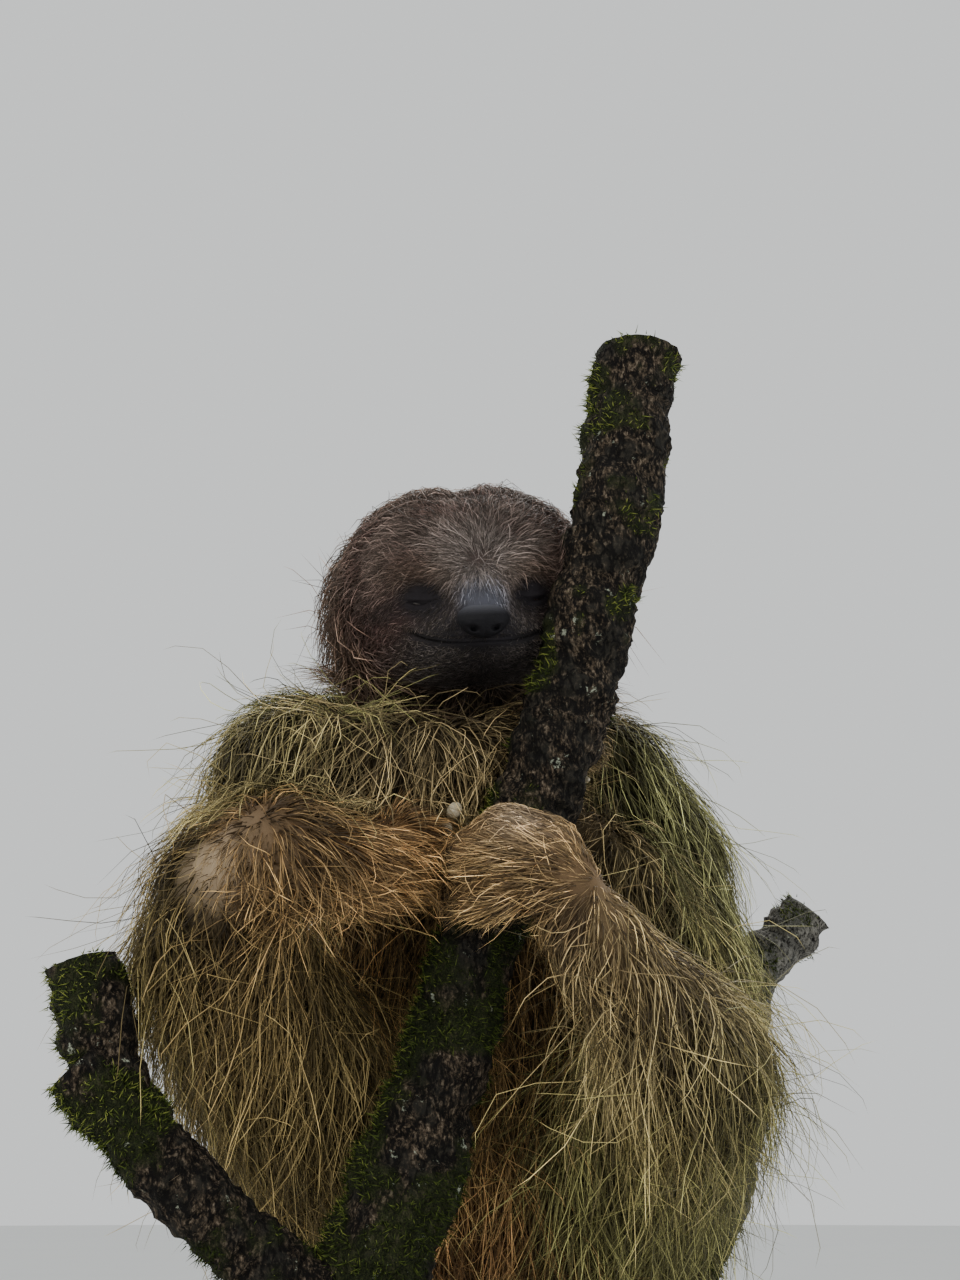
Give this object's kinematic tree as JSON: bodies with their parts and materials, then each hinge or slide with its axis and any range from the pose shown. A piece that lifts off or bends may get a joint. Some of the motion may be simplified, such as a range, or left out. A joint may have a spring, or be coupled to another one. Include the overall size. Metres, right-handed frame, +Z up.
{
  "type": "three-toed sloth",
  "caption": "Life-size brown-throated three-toed sloth with closed eyes, sitting upright and hugging a cut forked bough on a plain round display stand.",
  "frame": {"origin": "centre of the underside of the stand's round base", "axes": "+Z up; the animal faces -Y; +X is the animal's left"},
  "size_m": [0.2898, 0.27, 0.4702],
  "materials": {
    "coat": "long coarse matt fur, olive and straw over brown",
    "nose_skin": "bare dark skin, slightly moist",
    "eye": "dark brown, glossy",
    "horn": "cream horn, worn smooth",
    "bark": "rough dark bark with moss and lichen",
    "stand_black": "satin black paint on board",
    "stand_steel": "fine brushed"
  },
  "bodies": {
    "root": {"head": "coat", "neck": "coat", "chest": "coat", "belly": "coat", "tail": "coat", "upper_arm_left": "coat", "upper_arm_right": "coat", "forearm_left": "coat", "forearm_right": "coat", "hand_left": "coat", "hand_right": "coat", "thigh_left": "coat", "thigh_right": "coat", "shin_left": "coat", "shin_right": "coat", "foot_left": "coat", "foot_right": "coat", "nose": "nose_skin", "eye_left": "eye", "eye_right": "eye", "claw_hand_left_upper": "horn", "claw_hand_left_middle": "horn", "claw_hand_left_lower": "horn", "claw_hand_right_upper": "horn", "claw_hand_right_middle": "horn", "claw_hand_right_lower": "horn", "claw_foot_left_upper": "horn", "claw_foot_left_middle": "horn", "claw_foot_left_lower": "horn", "claw_foot_right_upper": "horn", "claw_foot_right_middle": "horn", "claw_foot_right_lower": "horn", "perch_bough": "bark", "perch_branch_front": "bark", "perch_branch_upper": "bark", "perch_branch_seat": "bark", "stand_base": "stand_black", "stand_rod_front": "stand_steel", "stand_rod_back": "stand_steel"}
  },
  "joints": []
}
